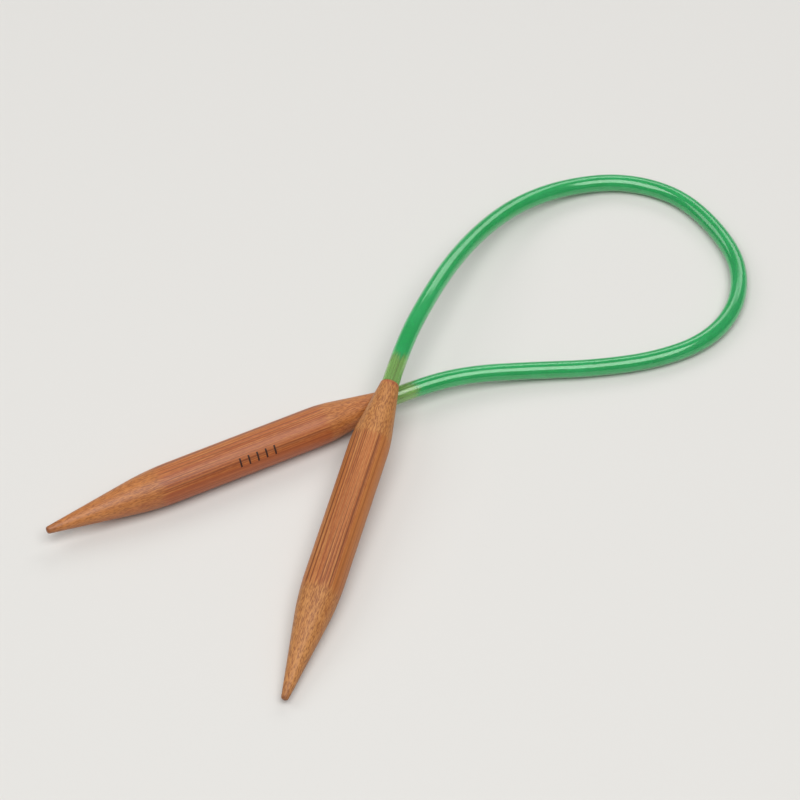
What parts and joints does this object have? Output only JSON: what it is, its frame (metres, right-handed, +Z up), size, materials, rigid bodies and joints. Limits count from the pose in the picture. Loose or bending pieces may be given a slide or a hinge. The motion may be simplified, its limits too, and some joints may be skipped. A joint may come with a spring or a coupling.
{
  "type": "circular knitting needle",
  "caption": "Circular knitting needle: blunt tapered bamboo tips glued into the ends of a flexible hollow tube, lying with the tube in one open loop.",
  "frame": {"origin": "on the surface the needle lies on, below the middle of the box round the two tips", "axes": "+Z up from the surface; +X to the right and +Y away as the needle is laid, with the points towards -X and -Y and the tube's loop towards +X and +Y"},
  "size_m": [0.1739, 0.1637, 0.0147],
  "materials": {
    "bamboo_front": "sanded and waxed bamboo, lighter tan",
    "bamboo_left": "polished bamboo, redder brown",
    "glue": "clear hardened adhesive",
    "green_tube": "translucent emerald green soft vinyl tube"
  },
  "bodies": {
    "tube": {"connecting_tube": "green_tube"},
    "front_tip": {"needle_tip_front": "bamboo_front", "glue_film_front": "glue"},
    "left_tip": {"needle_tip_left": "bamboo_left", "glue_film_left": "glue"}
  },
  "joints": [
    {"name": "front_tip_swing", "type": "hinge", "parent": "tube", "child": "front_tip", "pos_m": [0.04955, 0.0709, 0.012], "axis": [0, 0, 1], "range_deg": [0, 60], "deforming": ["connecting_tube"]},
    {"name": "left_tip_swing", "type": "hinge", "parent": "tube", "child": "left_tip", "pos_m": [0.06862, 0.04922, 0.00316], "axis": [0, 0, 1], "range_deg": [-45, 0], "deforming": ["connecting_tube"]}
  ]
}
